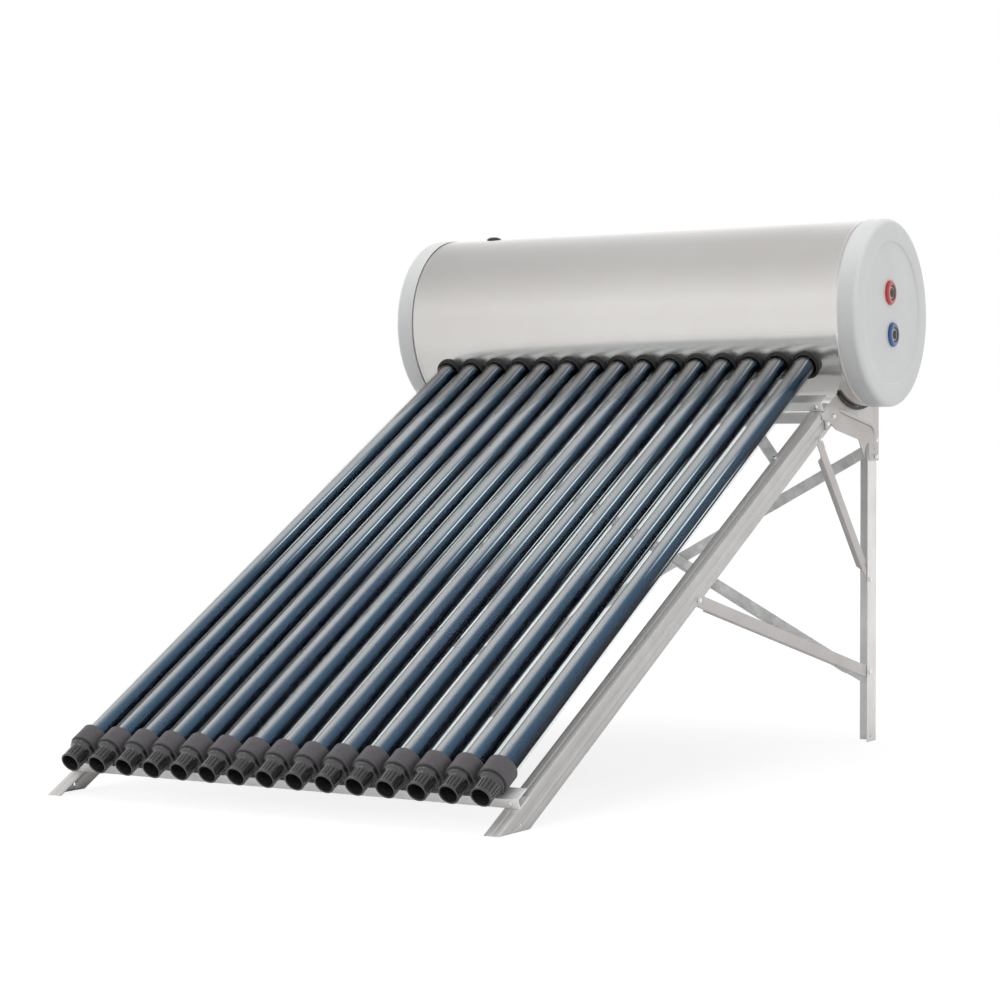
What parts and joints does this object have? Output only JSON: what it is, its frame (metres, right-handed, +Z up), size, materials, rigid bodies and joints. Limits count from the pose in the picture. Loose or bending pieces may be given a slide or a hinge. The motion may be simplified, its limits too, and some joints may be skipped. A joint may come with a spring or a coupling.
{
  "type": "solar water heater",
  "caption": "Non-pressurised thermosiphon solar water heater: insulated horizontal tank on an angle-bar stand, with sloping evacuated glass tubes plugged into it.",
  "frame": {"origin": "on the ground, under the middle of the whole object's box; sideways it is exactly midway between the left and right legs, 2 mm from the box's own middle because the port rings stand out at one end only, and fore and aft it is 0.764 m in front of the tank's axis", "axes": "+X along the tank towards the end with the water ports, +Y from the low ends of the tubes towards the tank, +Z up"},
  "size_m": [1.3567, 2.004, 1.3478],
  "materials": {
    "absorber_glass": "gloss",
    "black_plastic": "gloss",
    "shell_steel": "satin",
    "foam": "matte",
    "tank_steel": "satin",
    "cover_plastic": "satin",
    "red_plastic": "gloss",
    "blue_plastic": "gloss",
    "collar_plastic": "matte",
    "black_rubber": "matte",
    "silicone": "satin",
    "frame_aluminium": "satin"
  },
  "bodies": {
    "root": {"outer_shell": "shell_steel", "tank_insulation": "foam", "inner_tank": "tank_steel", "end_cover_right": "cover_plastic", "end_cover_left": "cover_plastic", "hot_outlet_ring": "red_plastic", "cold_inlet_ring": "blue_plastic", "tail_collars": "collar_plastic", "dust_seals": "black_rubber", "tube_seals": "silicone", "front_leg_right": "frame_aluminium", "front_leg_left": "frame_aluminium", "rear_leg_right": "frame_aluminium", "rear_leg_left": "frame_aluminium", "bottom_rail": "frame_aluminium", "upper_crossbar": "frame_aluminium", "rear_crossbar": "frame_aluminium", "tank_bracket_right": "frame_aluminium", "tank_bracket_left": "frame_aluminium", "cradle_pad_right": "black_rubber", "cradle_pad_left": "black_rubber", "side_diagonal_right": "frame_aluminium", "side_diagonal_left": "frame_aluminium", "side_strut_right": "frame_aluminium", "side_strut_left": "frame_aluminium", "rear_brace_a": "frame_aluminium", "rear_brace_b": "frame_aluminium", "knee_brace_right": "frame_aluminium", "knee_brace_left": "frame_aluminium"},
    "vacuum_tube_01": {"vacuum_tube_01": "absorber_glass"},
    "tail_cup_01": {"tail_cup_01": "black_plastic"},
    "vacuum_tube_02": {"vacuum_tube_02": "absorber_glass"},
    "tail_cup_02": {"tail_cup_02": "black_plastic"},
    "vacuum_tube_03": {"vacuum_tube_03": "absorber_glass"},
    "tail_cup_03": {"tail_cup_03": "black_plastic"},
    "vacuum_tube_04": {"vacuum_tube_04": "absorber_glass"},
    "tail_cup_04": {"tail_cup_04": "black_plastic"},
    "vacuum_tube_05": {"vacuum_tube_05": "absorber_glass"},
    "tail_cup_05": {"tail_cup_05": "black_plastic"},
    "vacuum_tube_06": {"vacuum_tube_06": "absorber_glass"},
    "tail_cup_06": {"tail_cup_06": "black_plastic"},
    "vacuum_tube_07": {"vacuum_tube_07": "absorber_glass"},
    "tail_cup_07": {"tail_cup_07": "black_plastic"},
    "vacuum_tube_08": {"vacuum_tube_08": "absorber_glass"},
    "tail_cup_08": {"tail_cup_08": "black_plastic"},
    "vacuum_tube_09": {"vacuum_tube_09": "absorber_glass"},
    "tail_cup_09": {"tail_cup_09": "black_plastic"},
    "vacuum_tube_10": {"vacuum_tube_10": "absorber_glass"},
    "tail_cup_10": {"tail_cup_10": "black_plastic"},
    "vacuum_tube_11": {"vacuum_tube_11": "absorber_glass"},
    "tail_cup_11": {"tail_cup_11": "black_plastic"},
    "vacuum_tube_12": {"vacuum_tube_12": "absorber_glass"},
    "tail_cup_12": {"tail_cup_12": "black_plastic"},
    "vacuum_tube_13": {"vacuum_tube_13": "absorber_glass"},
    "tail_cup_13": {"tail_cup_13": "black_plastic"},
    "vacuum_tube_14": {"vacuum_tube_14": "absorber_glass"},
    "tail_cup_14": {"tail_cup_14": "black_plastic"},
    "vacuum_tube_15": {"vacuum_tube_15": "absorber_glass"},
    "tail_cup_15": {"tail_cup_15": "black_plastic"},
    "vent_cap": {"vent_cap": "black_plastic"}
  },
  "joints": [
    {"name": "tube_01_feed", "type": "slide", "parent": "root", "child": "vacuum_tube_01", "axis": [0, 0.866, 0.5], "range_m": [-0.006, 0]},
    {"name": "cup_01_screw", "type": "hinge", "parent": "vacuum_tube_01", "child": "tail_cup_01", "pos_m": [-0.525, -0.986, 0.072], "axis": [0, 0.866, 0.5], "range_deg": [-361, 1]},
    {"name": "tube_02_feed", "type": "slide", "parent": "root", "child": "vacuum_tube_02", "axis": [0, 0.866, 0.5], "range_m": [-0.006, 0]},
    {"name": "cup_02_screw", "type": "hinge", "parent": "vacuum_tube_02", "child": "tail_cup_02", "pos_m": [-0.45, -0.986, 0.072], "axis": [0, 0.866, 0.5], "range_deg": [-361, 1]},
    {"name": "tube_03_feed", "type": "slide", "parent": "root", "child": "vacuum_tube_03", "axis": [0, 0.866, 0.5], "range_m": [-0.006, 0]},
    {"name": "cup_03_screw", "type": "hinge", "parent": "vacuum_tube_03", "child": "tail_cup_03", "pos_m": [-0.375, -0.986, 0.072], "axis": [0, 0.866, 0.5], "range_deg": [-361, 1]},
    {"name": "tube_04_feed", "type": "slide", "parent": "root", "child": "vacuum_tube_04", "axis": [0, 0.866, 0.5], "range_m": [-0.006, 0]},
    {"name": "cup_04_screw", "type": "hinge", "parent": "vacuum_tube_04", "child": "tail_cup_04", "pos_m": [-0.3, -0.986, 0.072], "axis": [0, 0.866, 0.5], "range_deg": [-361, 1]},
    {"name": "tube_05_feed", "type": "slide", "parent": "root", "child": "vacuum_tube_05", "axis": [0, 0.866, 0.5], "range_m": [-0.006, 0]},
    {"name": "cup_05_screw", "type": "hinge", "parent": "vacuum_tube_05", "child": "tail_cup_05", "pos_m": [-0.225, -0.986, 0.072], "axis": [0, 0.866, 0.5], "range_deg": [-361, 1]},
    {"name": "tube_06_feed", "type": "slide", "parent": "root", "child": "vacuum_tube_06", "axis": [0, 0.866, 0.5], "range_m": [-0.006, 0]},
    {"name": "cup_06_screw", "type": "hinge", "parent": "vacuum_tube_06", "child": "tail_cup_06", "pos_m": [-0.15, -0.986, 0.072], "axis": [0, 0.866, 0.5], "range_deg": [-361, 1]},
    {"name": "tube_07_feed", "type": "slide", "parent": "root", "child": "vacuum_tube_07", "axis": [0, 0.866, 0.5], "range_m": [-0.006, 0]},
    {"name": "cup_07_screw", "type": "hinge", "parent": "vacuum_tube_07", "child": "tail_cup_07", "pos_m": [-0.075, -0.986, 0.072], "axis": [0, 0.866, 0.5], "range_deg": [-361, 1]},
    {"name": "tube_08_feed", "type": "slide", "parent": "root", "child": "vacuum_tube_08", "axis": [0, 0.866, 0.5], "range_m": [-0.006, 0]},
    {"name": "cup_08_screw", "type": "hinge", "parent": "vacuum_tube_08", "child": "tail_cup_08", "pos_m": [0, -0.986, 0.072], "axis": [0, 0.866, 0.5], "range_deg": [-361, 1]},
    {"name": "tube_09_feed", "type": "slide", "parent": "root", "child": "vacuum_tube_09", "axis": [0, 0.866, 0.5], "range_m": [-0.006, 0]},
    {"name": "cup_09_screw", "type": "hinge", "parent": "vacuum_tube_09", "child": "tail_cup_09", "pos_m": [0.075, -0.986, 0.072], "axis": [0, 0.866, 0.5], "range_deg": [-361, 1]},
    {"name": "tube_10_feed", "type": "slide", "parent": "root", "child": "vacuum_tube_10", "axis": [0, 0.866, 0.5], "range_m": [-0.006, 0]},
    {"name": "cup_10_screw", "type": "hinge", "parent": "vacuum_tube_10", "child": "tail_cup_10", "pos_m": [0.15, -0.986, 0.072], "axis": [0, 0.866, 0.5], "range_deg": [-361, 1]},
    {"name": "tube_11_feed", "type": "slide", "parent": "root", "child": "vacuum_tube_11", "axis": [0, 0.866, 0.5], "range_m": [-0.006, 0]},
    {"name": "cup_11_screw", "type": "hinge", "parent": "vacuum_tube_11", "child": "tail_cup_11", "pos_m": [0.225, -0.986, 0.072], "axis": [0, 0.866, 0.5], "range_deg": [-361, 1]},
    {"name": "tube_12_feed", "type": "slide", "parent": "root", "child": "vacuum_tube_12", "axis": [0, 0.866, 0.5], "range_m": [-0.006, 0]},
    {"name": "cup_12_screw", "type": "hinge", "parent": "vacuum_tube_12", "child": "tail_cup_12", "pos_m": [0.3, -0.986, 0.072], "axis": [0, 0.866, 0.5], "range_deg": [-361, 1]},
    {"name": "tube_13_feed", "type": "slide", "parent": "root", "child": "vacuum_tube_13", "axis": [0, 0.866, 0.5], "range_m": [-0.006, 0]},
    {"name": "cup_13_screw", "type": "hinge", "parent": "vacuum_tube_13", "child": "tail_cup_13", "pos_m": [0.375, -0.986, 0.072], "axis": [0, 0.866, 0.5], "range_deg": [-361, 1]},
    {"name": "tube_14_feed", "type": "slide", "parent": "root", "child": "vacuum_tube_14", "axis": [0, 0.866, 0.5], "range_m": [-0.006, 0]},
    {"name": "cup_14_screw", "type": "hinge", "parent": "vacuum_tube_14", "child": "tail_cup_14", "pos_m": [0.45, -0.986, 0.072], "axis": [0, 0.866, 0.5], "range_deg": [-361, 1]},
    {"name": "tube_15_feed", "type": "slide", "parent": "root", "child": "vacuum_tube_15", "axis": [0, 0.866, 0.5], "range_m": [-0.006, 0]},
    {"name": "cup_15_screw", "type": "hinge", "parent": "vacuum_tube_15", "child": "tail_cup_15", "pos_m": [0.525, -0.986, 0.072], "axis": [0, 0.866, 0.5], "range_deg": [-361, 1]},
    {"name": "vent_cap_lift", "type": "slide", "parent": "root", "child": "vent_cap", "axis": [0, 0, 1], "range_m": [0, 0.01]}
  ],
  "couplings": [
    {"joint": "cup_01_screw", "follows": "tube_01_feed", "rad_per_m": 1047.2},
    {"joint": "cup_02_screw", "follows": "tube_02_feed", "rad_per_m": 1047.2},
    {"joint": "cup_03_screw", "follows": "tube_03_feed", "rad_per_m": 1047.2},
    {"joint": "cup_04_screw", "follows": "tube_04_feed", "rad_per_m": 1047.2},
    {"joint": "cup_05_screw", "follows": "tube_05_feed", "rad_per_m": 1047.2},
    {"joint": "cup_06_screw", "follows": "tube_06_feed", "rad_per_m": 1047.2},
    {"joint": "cup_07_screw", "follows": "tube_07_feed", "rad_per_m": 1047.2},
    {"joint": "cup_08_screw", "follows": "tube_08_feed", "rad_per_m": 1047.2},
    {"joint": "cup_09_screw", "follows": "tube_09_feed", "rad_per_m": 1047.2},
    {"joint": "cup_10_screw", "follows": "tube_10_feed", "rad_per_m": 1047.2},
    {"joint": "cup_11_screw", "follows": "tube_11_feed", "rad_per_m": 1047.2},
    {"joint": "cup_12_screw", "follows": "tube_12_feed", "rad_per_m": 1047.2},
    {"joint": "cup_13_screw", "follows": "tube_13_feed", "rad_per_m": 1047.2},
    {"joint": "cup_14_screw", "follows": "tube_14_feed", "rad_per_m": 1047.2},
    {"joint": "cup_15_screw", "follows": "tube_15_feed", "rad_per_m": 1047.2}
  ]
}
